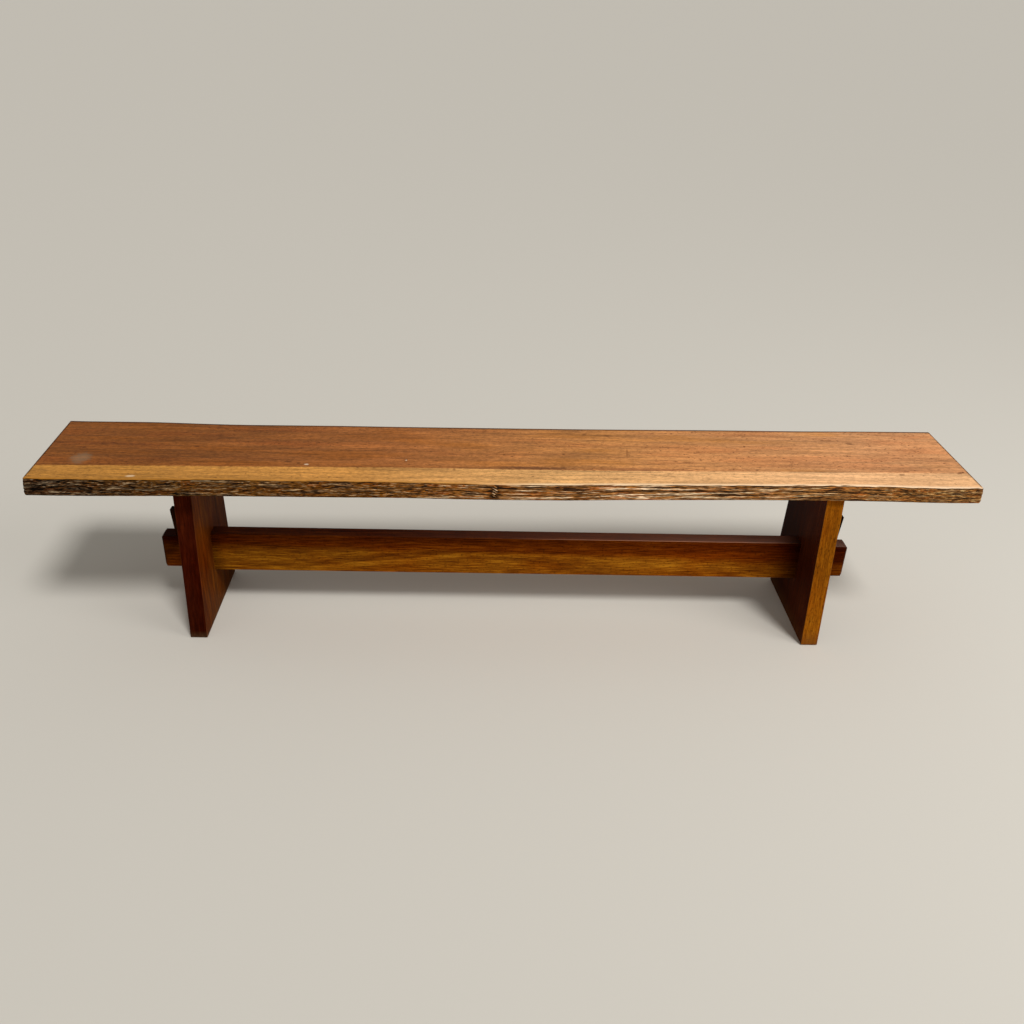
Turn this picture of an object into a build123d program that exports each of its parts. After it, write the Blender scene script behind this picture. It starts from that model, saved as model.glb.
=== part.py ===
from build123d import *
import math
import os

# Live-edge trestle bench: one thick plank carried on two upright slab legs, with a rail whose
# tenons pass right through the legs and are locked outside them by tapered wedges.
# Millimetres. X runs along the bench, -Y is the side of the plank's live edge, +Z is up.
# The origin is on the floor, under the middle of the plank.

# Overall
seat_height = 450.0
plank_overhang = 314.0        # how far the plank runs out past each leg

# Plank
plank_length = 2201.4
plank_width = 314.0
plank_thickness = 40.0
plank_skew_degrees = 0.87     # the plank lies slightly turned on its legs
edge_wander = 8.0             # how far a long edge strays from its straight line
wane_lean = 5.0               # how far the live edge stands out at the underside
wane_belly = 2.6              # how far the ridges of the live edge stand out
wane_drift = 1.8              # how far a ridge rises and falls along the plank
left_end_lead = 1.75          # how far the left end is cut out of square, at each corner
plank_top_easing = 1.6
plank_front_easing = 3.2      # the worn arris above the live edge
plank_under_easing = 1.2

# Legs
leg_thickness = 41.7
leg_head_width = 241.0
leg_foot_width = 304.0
leg_easing = 1.5
foot_easing = 3.0

# Rail and its tenons
rail_height = 105.7
rail_thickness = 38.0
rail_underside_height = 116.6
rail_easing = 1.6
tenon_shoulder = 9.0          # step from the rail down to the tenon, above and below it
tenon_reach = 80.8            # how far a tenon stands out of its leg
tenon_end_easing = 4.5

# Wedges
wedge_length = 187.0
left_wedge_head_width = 53.0  # along X, at its wide upper end
right_wedge_head_width = 57.0
wedge_thickness = 16.0
wedge_taper = 12.0            # lengths of wedge in which it narrows by one
wedge_head_easing = 2.0
wedge_point_easing = 3.0
left_wedge_stand = 71.5       # how far the wedge stands above its tenon
right_wedge_stand = 82.5
draw_relief = 6.0             # how far the slot starts inside the leg, so that the wedge can draw it up

# Dowels hidden between the legs and the plank
dowel_count = 3
dowel_diameter = 12.0
dowel_length = 56.0
dowel_in_plank = 26.0
dowel_spacing = 75.0
dowel_easing = 1.2

# Clearances
tenon_clearance = 0.25        # tenon in its mortise, each side
wedge_clearance = 0.3         # wedge to leg and to the walls of its slot
dowel_clearance = 0.05        # dowel to the wall of its hole
glue_room = 1.5               # spare depth at each end of a dowel
overrun = 5.0                 # how far a cutting solid passes the surface that it opens

# Worked out from the sizes above
plank_underside = seat_height - plank_thickness
leg_outer_face = plank_length / 2 - plank_overhang
leg_inner_face = leg_outer_face - leg_thickness
leg_spacing = 2 * leg_inner_face
leg_middle = (leg_inner_face + leg_outer_face) / 2
tenon_bottom = rail_underside_height + tenon_shoulder
tenon_top = rail_underside_height + rail_height - tenon_shoulder
tenon_height = tenon_top - tenon_bottom
tenon_middle_height = (tenon_top + tenon_bottom) / 2
tenon_end = leg_outer_face + tenon_reach

# The live edge, from the left end to the right: station along the plank as a share of its half
# length, wander outward as a share of edge_wander, and lean as a share of wane_lean.
front_edge_shares = (
    (-1.00, 0.20, 1.80),
    (-0.96, 0.60, 1.25),
    (-0.90, 0.62, 1.30),
    (-0.86, 0.80, 0.95),
    (-0.80, 0.48, 1.20),
    (-0.72, 0.21, 1.20),
    (-0.57, -0.08, 1.25),
    (-0.50, 0.15, 0.95),
    (-0.42, -0.12, 1.35),
    (-0.34, 0.00, 1.15),
    (-0.27, 0.06, 0.85),
    (-0.19, 0.32, 0.80),
    (-0.11, 0.80, 0.45),
    (0.00, 1.05, 0.30),
    (0.06, 0.78, 0.60),
    (0.13, 0.76, 0.45),
    (0.20, 0.34, 0.45),
    (0.30, 0.15, 0.20),
    (0.42, -0.12, 0.05),
    (0.52, -0.28, -0.10),
    (0.72, -0.80, 0.65),
    (0.80, -0.58, 0.60),
    (0.87, -0.08, 0.30),
    (0.94, -0.06, 0.50),
    (1.00, -0.20, 0.50),
)
# The back edge, from the right end to the left: station and wander outward, as above.
back_edge_shares = (
    (1.00, 0.15),
    (0.90, 0.00),
    (0.80, -0.22),
    (0.70, -0.58),
    (0.57, -0.72),
    (0.47, -0.80),
    (0.33, -1.12),
    (0.19, -1.45),
    (0.05, -1.58),
    (-0.09, -1.58),
    (-0.23, -1.64),
    (-0.37, -1.50),
    (-0.50, -1.62),
    (-0.64, -1.66),
    (-0.71, -1.30),
    (-0.78, -0.80),
    (-0.87, -0.62),
    (-0.94, -0.72),
    (-1.00, -0.55),
)


# The ridges and furrows that run along the live edge, from the underside up: height as a share
# of the edge between its easings, stand as a share of wane_belly, and where its drift begins.
wane_ridge_shares = (
    (0.13, 0.90, 0.00),
    (0.27, 0.35, 0.35),
    (0.42, 1.00, 0.60),
    (0.56, 0.55, 0.10),
    (0.72, 0.95, 0.80),
    (0.87, 0.40, 0.45),
)
wane_drift_waves = 2.5        # rises and falls of a ridge in half the plank's length

# The upper arrises, from their foot up: depth below the top and how far the front is drawn in,
# as shares of plank_front_easing, and how far the ends and the back are drawn in, as a share of
# plank_top_easing.
plank_arris_shares = (
    (1.00, 0.00, 0.00),
    (0.30, 0.30, 0.00),
    (0.00, 1.00, 1.00),
)


def end_lead(station_share, side):
    """How far a corner of the left end stands off square; the right end is square."""
    if station_share > -1:
        return 0
    return left_end_lead * side


def ridge_drift(station_share, start_share):
    """How far a ridge has risen at one station; it starts and ends at its own height."""
    wave = math.sin(math.tau * (start_share + wane_drift_waves * station_share))
    return wane_drift * wave * (1 - station_share ** 2)


def plank_outline(height, easing, front_easing, stand_share, start_share):
    """The plank's outline at one height above its underside, drawn in by the easings there."""
    half_length = plank_length / 2 - easing
    half_width = plank_width / 2
    level = plank_underside + height
    front_points = []
    for station, wander, lean in front_edge_shares:
        out = half_width - front_easing + edge_wander * wander + wane_belly * stand_share
        out += wane_lean * lean * (1 - height / plank_thickness)
        rise = ridge_drift(station, start_share) if stand_share else 0
        front_points.append((half_length * station + end_lead(station, 1), -out, level + rise))
    back_points = []
    for station, wander in back_edge_shares:
        out = half_width - easing + edge_wander * wander
        back_points.append((half_length * station + end_lead(station, -1), out, level))
    edges = [
        Spline(*front_points),
        Line(front_points[-1], back_points[0]),
        Spline(*back_points),
        Line(back_points[-1], front_points[0]),
    ]
    return Wire(edges)


def plank_outlines():
    """The outlines from the underside to the top: its easings, and the ridges between."""
    edge_bottom = plank_under_easing
    edge_top = plank_thickness - plank_front_easing
    outlines = [
        plank_outline(0, plank_under_easing, plank_under_easing, 0, 0),
        plank_outline(edge_bottom, 0, 0, 0, 0),
    ]
    for height_share, stand_share, start_share in wane_ridge_shares:
        height = edge_bottom + (edge_top - edge_bottom) * height_share
        outlines.append(plank_outline(height, 0, 0, stand_share, start_share))
    for depth_share, front_share, easing_share in plank_arris_shares:
        height = plank_thickness - plank_front_easing * depth_share
        easing = plank_top_easing * easing_share
        outlines.append(plank_outline(height, easing, plank_front_easing * front_share, 0, 0))
    return outlines


def dowel_places():
    """The middles of one leg's dowels, across the bench."""
    first = -dowel_spacing * (dowel_count - 1) / 2
    return [first + dowel_spacing * place for place in range(dowel_count)]


def dowel_holes(side):
    """The stopped holes for one leg's dowels, up into the plank and down into the leg."""
    depth = dowel_length + 2 * glue_room
    middle = plank_underside + dowel_in_plank - dowel_length / 2
    holes = []
    for place in dowel_places():
        hole = Cylinder(dowel_diameter / 2 + dowel_clearance, depth)
        holes.append(Pos(side * leg_middle, place, middle) * hole)
    return holes


def make_plank():
    """The plank with its ends, its live edge and its dowel holes, centred over the origin."""
    plank = Rot(0, 0, plank_skew_degrees) * Solid.make_loft(plank_outlines(), ruled=True)
    box = plank.bounding_box()
    plank = Pos(-box.center().X, -box.center().Y, 0) * plank
    return plank - dowel_holes(-1) - dowel_holes(1)


def make_leg(side):
    """An upright board, wider at the foot, with its mortise and dowel holes."""
    outline = Polyline(
        (-leg_foot_width / 2, 0),
        (leg_foot_width / 2, 0),
        (leg_head_width / 2, plank_underside),
        (-leg_head_width / 2, plank_underside),
        close=True,
    )
    board = extrude(Plane.YZ * make_face(outline), leg_thickness / 2, both=True)
    board = chamfer(board.faces().sort_by(Axis.Z)[0].edges(), foot_easing)
    long_arrises = board.edges().filter_by(
        lambda edge: abs((edge @ 1 - edge @ 0).Z) > plank_underside / 2
    )
    board = fillet(long_arrises, leg_easing)
    mortise = Box(
        leg_thickness + 2 * overrun,
        rail_thickness + 2 * tenon_clearance,
        tenon_height + 2 * tenon_clearance,
    )
    board -= Pos(0, 0, tenon_middle_height) * mortise
    return Pos(side * leg_middle, 0, 0) * board - dowel_holes(side)


def wedge_top(stand):
    """The height of a wedge's head, from how far it stands above its tenon."""
    return tenon_top + stand


def wedge_width(height, stand, head_width):
    """The wedge's width along X at one height, narrowing downward from its head."""
    return head_width - (wedge_top(stand) - height) / wedge_taper


def wedge_slot(side, stand, head_width):
    """The slot through a tenon: square inside the leg, sloped where the wedge bears."""
    bottom = tenon_bottom - overrun
    top = tenon_top + overrun
    inner = leg_outer_face - draw_relief
    slack = 2 * wedge_clearance
    outline = Polyline(
        (side * inner, bottom),
        (side * (leg_outer_face + wedge_width(bottom, stand, head_width) + slack), bottom),
        (side * (leg_outer_face + wedge_width(top, stand, head_width) + slack), top),
        (side * inner, top),
        close=True,
    )
    depth = wedge_thickness / 2 + wedge_clearance
    return extrude(Plane.XZ * make_face(outline), depth, both=True)


def make_rail():
    """The rail between the legs, with a shouldered tenon and a wedge slot at each end."""
    rail = Box(leg_spacing, rail_thickness, rail_height)
    rail = fillet(rail.edges().filter_by(Axis.X), rail_easing)
    rail = Pos(0, 0, tenon_middle_height) * rail
    tenons = Box(2 * tenon_end, rail_thickness, tenon_height)
    ends = tenons.faces().filter_by(Axis.X)
    tenons = chamfer([edge for face in ends for edge in face.edges()], tenon_end_easing)
    rail += Pos(0, 0, tenon_middle_height) * tenons
    rail -= wedge_slot(-1, left_wedge_stand, left_wedge_head_width)
    return rail - wedge_slot(1, right_wedge_stand, right_wedge_head_width)


def make_wedge(side, stand, head_width):
    """A wedge with one upright face against the leg and one sloped face against its slot."""
    top = wedge_top(stand)
    bottom = top - wedge_length
    inner = leg_outer_face + wedge_clearance
    outline = Polyline(
        (side * inner, bottom),
        (side * (inner + wedge_width(bottom, stand, head_width)), bottom),
        (side * (inner + wedge_width(top, stand, head_width)), top),
        (side * inner, top),
        close=True,
    )
    wedge = extrude(Plane.XZ * make_face(outline), wedge_thickness / 2, both=True)
    across = wedge.edges().filter_by(Axis.Y).group_by(Axis.Z)
    wedge = chamfer(across[-1], wedge_head_easing)
    across = wedge.edges().filter_by(Axis.Y).group_by(Axis.Z)
    return chamfer(across[0], wedge_point_easing)


def make_dowels(side):
    """One leg's dowels, as separate solids."""
    middle = plank_underside + dowel_in_plank - dowel_length / 2
    dowel = Cylinder(dowel_diameter / 2, dowel_length)
    dowel = chamfer(dowel.edges().filter_by(GeomType.CIRCLE), dowel_easing)
    return Compound(
        children=[Pos(side * leg_middle, place, middle) * dowel for place in dowel_places()]
    )


pieces = {
    "seat_plank": make_plank(),
    "left_leg": make_leg(-1),
    "right_leg": make_leg(1),
    "stretcher_rail": make_rail(),
    "left_wedge": make_wedge(-1, left_wedge_stand, left_wedge_head_width),
    "right_wedge": make_wedge(1, right_wedge_stand, right_wedge_head_width),
    "left_leg_dowels": make_dowels(-1),
    "right_leg_dowels": make_dowels(1),
}
os.makedirs("parts", exist_ok=True)
for name, piece in pieces.items():
    piece.label = name
    export_step(piece, f"parts/{name}.step")

# A wedge lifts out once its point has left the tenon.
print("left wedge lifts out after", wedge_length - left_wedge_stand, "mm")
print("right wedge lifts out after", wedge_length - right_wedge_stand, "mm")
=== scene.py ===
import math

import bpy
import numpy as np
from mathutils import Matrix, Vector, noise
from mathutils.bvhtree import BVHTree


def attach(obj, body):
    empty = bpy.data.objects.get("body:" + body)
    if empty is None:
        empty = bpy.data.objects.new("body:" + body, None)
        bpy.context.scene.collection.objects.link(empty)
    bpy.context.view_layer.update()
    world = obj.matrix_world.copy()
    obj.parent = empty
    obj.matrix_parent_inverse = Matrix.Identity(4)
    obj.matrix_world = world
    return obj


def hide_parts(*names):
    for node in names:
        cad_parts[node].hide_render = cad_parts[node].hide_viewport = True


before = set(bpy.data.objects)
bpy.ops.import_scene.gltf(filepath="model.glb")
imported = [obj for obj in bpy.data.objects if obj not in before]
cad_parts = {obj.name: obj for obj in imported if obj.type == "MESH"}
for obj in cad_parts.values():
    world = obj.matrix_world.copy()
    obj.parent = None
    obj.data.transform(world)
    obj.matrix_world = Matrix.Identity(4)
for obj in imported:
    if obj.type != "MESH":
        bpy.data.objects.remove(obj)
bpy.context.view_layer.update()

mm = 0.001
quarterTurn = math.pi / 2
legTop = 410 * mm  # where the legs end and the plank lies on them
railReach = 870 * mm  # how far the rail's tints and wear run to each side of the middle

# How a Mix node joins two colours; its output 2 is the colour
layOver = {"out": 2, "data_type": "RGBA"}
multiply = {"out": 2, "data_type": "RGBA", "blend_type": "MULTIPLY"}


# Colours are given as #rrggbb and turned linear for the shaders
def hexLinear(code):
    parts = [int(code[i:i + 2], 16) / 255 for i in (1, 3, 5)]
    return tuple(c / 12.92 if c <= 0.04045 else ((c + 0.055) / 1.055) ** 2.4 for c in parts) + (1,)


# One node: inputs take a link or a plain value, out says which output is handed back, stops fill a colour
# ramp, and the rest are the node's settings
def addNode(tree, kind, inputs=None, out=0, stops=None, ease="LINEAR", **settings):
    node = tree.nodes.new("ShaderNode" + kind)
    for key, value in settings.items():
        setattr(node, key, value)
    for key, value in (inputs or {}).items():
        if isinstance(value, bpy.types.NodeSocket):
            tree.links.new(value, node.inputs[key])
        else:
            node.inputs[key].default_value = value
    if stops:
        ramp = node.color_ramp
        ramp.interpolation = ease
        ramp.elements[1].position = stops[-1][0]
        ramp.elements[0].position = stops[0][0]
        for share, _ in stops[1:-1]:
            ramp.elements.new(share)
        for element, (share, tone) in zip(ramp.elements, stops):
            element.color = hexLinear(tone) if isinstance(tone, str) else (tone, tone, tone, 1)
    return node.outputs[out]


# Camera: where the photograph was taken from, in metres and degrees
viewpoint = {
    "place": (-0.0848, -2.1060, 1.4764),
    "pitchDown": 29.40,
    "turnRight": 2.445,
    "roll": 2.196,
    "focalPixels": 966.8,
    "imageWidth": 1024,
    "sensorWidth": 36.0,
}


def addCamera(spec):
    pitch, turn, roll = (math.radians(spec[k]) for k in ("pitchDown", "turnRight", "roll"))
    ahead = Vector((math.sin(turn) * math.cos(pitch), math.cos(turn) * math.cos(pitch), -math.sin(pitch)))
    right = Vector((math.cos(turn), -math.sin(turn), 0))
    down = ahead.cross(right)
    tiltedRight = right * math.cos(roll) - down * math.sin(roll)
    tiltedDown = right * math.sin(roll) + down * math.cos(roll)
    data = bpy.data.cameras.new("viewpoint")
    data.sensor_width = spec["sensorWidth"]
    data.lens = spec["focalPixels"] / spec["imageWidth"] * spec["sensorWidth"]
    camera = bpy.data.objects.new("viewpoint", data)
    bpy.context.scene.collection.objects.link(camera)
    turnTo = Matrix((tiltedRight, -tiltedDown, -ahead)).transposed()
    camera.matrix_world = Matrix.Translation(spec["place"]) @ turnTo.to_4x4()
    bpy.context.scene.camera = camera


addCamera(viewpoint)
print("camera set")


# Studio: pale matt floor, soft daylight all round, a key lamp high in front and to the right
studio = {
    "floorSize": 400.0,
    "floorColour": "#cbc6bc",
    "floorRoughness": 0.9,
    "floorSpecular": 0.1,
    "roomColour": "#f4f2ee",
    "roomStrength": 0.4,
    "lamps": {  # kind, place, aim, settings
        "keyLamp": ("SUN", (0.29, -0.51, 0.86), (0, 0, 0), {"energy": 2.05, "angle": math.radians(14)}),
        "sideLamp": ("AREA", (3.2, -1.6, 2.4), (0.6, 0, 0.3), {"energy": 45.0, "shape": "DISK", "size": 2.0}),
    },
}


def addStudio(spec):
    half = spec["floorSize"] / 2
    corners = [(-half, -half, 0), (half, -half, 0), (half, half, 0), (-half, half, 0)]
    mesh = bpy.data.meshes.new("floor")
    mesh.from_pydata(corners, [], [(0, 1, 2, 3)])
    floor = bpy.data.objects.new("floor", mesh)
    bpy.context.scene.collection.objects.link(floor)
    paint = bpy.data.materials.new("floorMattPaint")
    paint.use_nodes = True
    shader = paint.node_tree.nodes["Principled BSDF"]
    shader.inputs["Base Color"].default_value = hexLinear(spec["floorColour"])
    shader.inputs["Roughness"].default_value = spec["floorRoughness"]
    shader.inputs["Specular IOR Level"].default_value = spec["floorSpecular"]
    mesh.materials.append(paint)
    room = bpy.data.worlds.new("softRoom")
    room.use_nodes = True
    air = room.node_tree.nodes["Background"]
    air.inputs["Color"].default_value = hexLinear(spec["roomColour"])
    air.inputs["Strength"].default_value = spec["roomStrength"]
    bpy.context.scene.world = room
    for name, (kind, place, aim, settings) in spec["lamps"].items():
        data = bpy.data.lights.new(name, kind)
        for key, value in settings.items():
            setattr(data, key, value)
        lamp = bpy.data.objects.new(name, data)
        lamp.location = place
        lamp.rotation_euler = (Vector(aim) - Vector(place)).to_track_quat("-Z", "Y").to_euler()
        bpy.context.scene.collection.objects.link(lamp)
    bpy.context.scene.view_settings.view_transform = "Standard"


addStudio(studio)
print("floor and lamps set")


# Every wood starts here: a material and its grain coordinates, with x along the fibre
def startWood(name, look):
    material = bpy.data.materials.new(name)
    material.use_nodes = True
    tree = material.node_tree
    inPlace = addNode(tree, "TexCoord", out="Object")
    grain = addNode(tree, "Mapping", {"Vector": inPlace, "Rotation": look["turn"]})
    return material, tree, grain


# Patterns: noise stretched to real sizes, each taken from its own place in the noise
patternPlace = {"start": (3.1, 1.7, 0.4), "step": (5.7, 2.3, 4.1)}


def layPatterns(tree, grain, patterns):
    laid = {}
    for order, (key, (size, detail, roughness)) in enumerate(patterns.items()):
        place = [a + order * b for a, b in zip(patternPlace["start"], patternPlace["step"])]
        scaled = addNode(tree, "Mapping", {"Vector": grain, "Scale": [1 / s for s in size], "Location": place})
        laid[key] = addNode(tree, "TexNoise", {"Vector": scaled, "Scale": 1.0, "Detail": detail,
                                               "Roughness": roughness})
    return laid


# Growth rings: noise over the distance from the pith, so that the rings are uneven, run as streaks along
# a board and show as arcs on its ends
def layRings(tree, grain, look):
    fromPith = addNode(tree, "VectorMath", {0: grain, 1: (0, *look["pith"])}, operation="SUBTRACT")
    acrossPith = addNode(tree, "VectorMath", {0: fromPith, 1: (0, 1, 1)}, operation="MULTIPLY")
    radius = addNode(tree, "VectorMath", {0: acrossPith}, out="Value", operation="LENGTH")
    along = addNode(tree, "SeparateXYZ", {0: grain})
    stretched = addNode(tree, "Mapping", {"Vector": grain, "Scale": (1.6, 9, 9)})  # waves 0.6 m by 110 mm
    bend = addNode(tree, "TexNoise", {"Vector": stretched, "Scale": 1.0, "Detail": 1.0})
    bent = addNode(tree, "Math", {0: bend, 1: look["ringBend"], 2: radius}, operation="MULTIPLY_ADD")
    place = addNode(tree, "CombineXYZ", {
        0: addNode(tree, "Math", {0: along, 1: look["ringLength"]}, operation="DIVIDE"),
        1: addNode(tree, "Math", {0: bent, 1: look["ringWidth"]}, operation="DIVIDE")})
    return addNode(tree, "TexNoise", {"Vector": place, "Scale": 1.0, "Detail": 2.0, "Roughness": 0.6})


# Every wood ends here: colour, gloss that may vary with a pattern, a weak tinted sheen and a low relief.
# The IOR stays at 1.5, which suits oil on wood.
def finishWood(tree, look, colour, height, gloss=None):
    shader = tree.nodes["Principled BSDF"]
    tree.links.new(colour, shader.inputs["Base Color"])
    shader.inputs["Roughness"].default_value = look["roughness"]
    if gloss is not None:
        low, high = (look["roughness"] + swing for swing in look["glossSwing"])
        uneven = addNode(tree, "MapRange", {0: gloss, 1: 0.3, 2: 0.7, 3: low, 4: high})
        tree.links.new(uneven, shader.inputs["Roughness"])
    shader.inputs["Specular IOR Level"].default_value = look["specular"]
    shader.inputs["Specular Tint"].default_value = hexLinear(look["sheenTint"])
    bump = addNode(tree, "Bump", {"Height": height, "Strength": look["bump"], "Distance": look["bumpDepth"]})
    tree.links.new(bump, shader.inputs["Normal"])


def makeWood(name, look):
    material, tree, grain = startWood(name, look)
    laid = layPatterns(tree, grain, look["patterns"])
    rings = layRings(tree, grain, look)
    axes = addNode(tree, "SeparateXYZ", {0: grain}).node.outputs
    normal = addNode(tree, "TexCoord", out="Normal")
    # which way the surface faces: broad faces, narrow edges, cut ends, and the arrises between them, which are
    # drawn pale
    turned = addNode(tree, "Mapping", {"Vector": normal, "Rotation": look["turn"]}, vector_type="NORMAL")
    square = addNode(tree, "VectorMath", {0: turned}, operation="ABSOLUTE")
    facing = addNode(tree, "SeparateXYZ", {0: square}).node.outputs
    onEnd, onEdge = (addNode(tree, "MapRange", {0: facing[axis], 1: look["squareFrom"], 2: look["squareTo"]})
                     for axis in (0, 1))
    squarest = addNode(tree, "Math", {0: facing[0], 1: facing[1]}, operation="MAXIMUM")
    squarest = addNode(tree, "Math", {0: squarest, 1: facing[2]}, operation="MAXIMUM")
    onArris = addNode(tree, "MapRange", {0: squarest, 1: look["arrisFrom"], 2: look["arrisTo"]})
    # rings and fibre together choose the tone, then come patches, tints with painted shade and light, pores
    # and the darker cut ends
    fibreShare = addNode(tree, "Math", {0: laid["fibre"], 1: 1 - look["ringShare"]}, operation="MULTIPLY")
    share = addNode(tree, "Math", {0: rings, 1: look["ringShare"], 2: fibreShare}, operation="MULTIPLY_ADD")
    face, edge = (addNode(tree, "ValToRGB", {0: share}, stops=look[key]) for key in ("faceTones", "edgeTones"))
    colour = addNode(tree, "Mix", {0: onEdge, 6: face, 7: edge}, **layOver)
    patch = addNode(tree, "ValToRGB", {0: laid["patches"]},
                    stops=[(look["patchFrom"], 0.0), (look["patchTo"], look["patchShare"])])
    colour = addNode(tree, "Mix", {0: patch, 6: colour, 7: hexLinear(look["patchTint"])}, **multiply)
    for axis, lean, start, end, stops in look["tintsAndPaintedShade"]:
        leant = addNode(tree, "Math", {0: axes[0], 1: lean, 2: axes[axis]}, operation="MULTIPLY_ADD")
        reach = addNode(tree, "MapRange", {0: leant, 1: start, 2: end})
        tint = addNode(tree, "ValToRGB", {0: reach}, stops=stops, ease="EASE")
        colour = addNode(tree, "Mix", {0: 1.0, 6: colour, 7: tint}, **multiply)
    inPore = addNode(tree, "ValToRGB", {0: laid["pores"]},
                     stops=[(look["poreFrom"], 0.0), (look["poreFrom"] + look["poreSoft"], 1.0)])
    poreShare = addNode(tree, "Math", {0: inPore, 1: look["poreDark"]}, operation="MULTIPLY")
    colour = addNode(tree, "Mix", {0: poreShare, 6: colour, 7: hexLinear(look["poreTone"])}, **layOver)
    colour = addNode(tree, "Mix", {0: onEnd, 6: colour, 7: hexLinear(look["endTint"])}, **multiply)
    # wear, dirt and painted light by their place on the fibre: pale on the arrises, there partly a painted
    # highlight, a pale cover on top that paints a reflected sheen, blotchy where mops and shoes reach
    upward = addNode(tree, "SeparateXYZ", {0: normal}).node.outputs[2]
    places = {
        "arrises": onArris,
        "top": addNode(tree, "MapRange", {0: upward, 1: look["topFrom"], 2: look["topTo"]}),
        "blotches": addNode(tree, "MapRange", {0: laid["fibre"], 1: look["blotchFrom"],
                                               2: look["blotchTo"], 3: look["blotchLeast"]}),
    }
    for place, start, end, stops, tone in look["wearAndPaintedSheen"]:
        reach = addNode(tree, "MapRange", {0: axes[0], 1: start, 2: end})
        reach = addNode(tree, "ValToRGB", {0: reach}, stops=stops)
        cover = addNode(tree, "Math", {0: reach, 1: places[place]}, operation="MULTIPLY")
        colour = addNode(tree, "Mix", {0: cover, 6: colour, 7: hexLinear(tone)}, **layOver)
    height = addNode(tree, "Math", {0: inPore, 1: -look["poreDepth"], 2: laid["fibre"]},
                     operation="MULTIPLY_ADD")
    finishWood(tree, look, colour, height, gloss=laid["fibre"])
    return material


# Teak heartwood, planed and oiled: deep red-brown, straight grain with fine dark pores drawn out along it,
# nearly matt. Pores are really 0.3 mm wide, and are drawn 2 mm wide so that they show.
leftLegTeak = {
    "turn": (0, quarterTurn, 0),
    "pith": (0.22, 1.35),
    "ringWidth": 9 * mm,
    "ringLength": 0.8,
    "ringBend": 0.05,
    "ringShare": 0.35,
    "patterns": {  # size along and across the fibre, detail, roughness
        "fibre": ((55 * mm, 2.8 * mm, 2.8 * mm), 4.0, 0.6),
        "patches": ((160 * mm, 50 * mm, 50 * mm), 2.0, 0.5),
        "pores": ((8 * mm, 3.0 * mm, 3.0 * mm), 1.0, 0.5),
    },
    # how squarely a surface looks along an axis before it counts as an end, an edge, an arris or the top
    "squareFrom": 0.6,
    "squareTo": 0.8,
    "arrisFrom": 0.97,
    "arrisTo": 0.86,
    "topFrom": 0.6,
    "topTo": 0.9,
    "faceTones": [(0.34, "#3c1c06"), (0.5, "#60320c"), (0.66, "#8a4e14")],
    "edgeTones": [(0.34, "#260b05"), (0.5, "#371106"), (0.66, "#481c0a")],
    "patchTint": "#d9a35a",
    "patchFrom": 0.46,
    "patchTo": 0.66,
    "patchShare": 0.5,
    "tintsAndPaintedShade": [  # axis, lean along the fibre, from, to, tint at each share of the way
        # along the height: darker low down, a warm band at mid height, and lighter at the top, where it is
        # painted light that lifts the plank's shadow
        (0, 0.0, 0.0, legTop, [(0.0, 0.76), (0.25, 0.84), (0.5, "#f4dcb8"), (0.75, 1.0), (1.0, 1.2)]),
        # across: lighter at the front and darker towards the back, painted shade under the plank
        (1, 0.0, -120 * mm, 120 * mm, [(0.0, "#fff0e0"), (0.45, 1.0), (1.0, 0.8)]),
    ],
    "poreFrom": 0.62,
    "poreSoft": 0.07,
    "poreDark": 0.35,
    "poreDepth": 0.7,
    "poreTone": "#180804",
    "endTint": "#8a7a70",
    "wearAndPaintedSheen": [  # where, from, to along the fibre, cover at each share of the way, colour
        ("arrises", 0.0, legTop, [(0.0, 0.5), (0.1, 0.12), (1.0, 0.08)], "#8a5a3c"),
        ("blotches", 0.0, 20 * mm, [(0.2, 0.5), (1.0, 0.0)], "#54422c"),
    ],
    "blotchFrom": 0.35,
    "blotchTo": 0.6,
    "blotchLeast": 0.3,
    "roughness": 0.48,
    "glossSwing": (-0.06, 0.08),
    "specular": 0.006,
    "sheenTint": "#e8b48a",
    "bump": 0.2,
    "bumpDepth": 0.4 * mm,
}
# The right leg: a darker board with golden edges and more open pores, pale down its arrises, partly wear and
# partly a painted highlight
rightLegTeak = dict(
    leftLegTeak,
    faceTones=[(0.34, "#2a1008"), (0.5, "#40190a"), (0.66, "#5a2a10")],
    edgeTones=[(0.34, "#683808"), (0.5, "#8a4e0a"), (0.66, "#a46412")],
    patchTint="#e0b890",
    tintsAndPaintedShade=[
        # along the height darker around the rail, and across darker towards the back: painted shade cast by
        # the rail and the plank
        (0, 0.0, 0.0, legTop, [(0.0, 1.04), (0.3, 1.0), (0.52, 0.86), (0.75, 0.88), (1.0, 1.0)]),
        (1, 0.0, -120 * mm, 120 * mm, [(0.0, 1.0), (0.3, 0.9), (0.6, 0.7), (1.0, 0.5)]),
    ],
    poreFrom=0.57,
    wearAndPaintedSheen=[
        # pale arrises: partly wear and partly a painted highlight
        ("arrises", 0.0, legTop, [(0.0, 0.4), (0.1, 0.2), (0.5, 0.3), (1.0, 0.3)], "#a86c34"),
        ("blotches", 0.0, 45 * mm, [(0.15, 0.6), (1.0, 0.0)], "#5a381c"),
    ],
)
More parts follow.
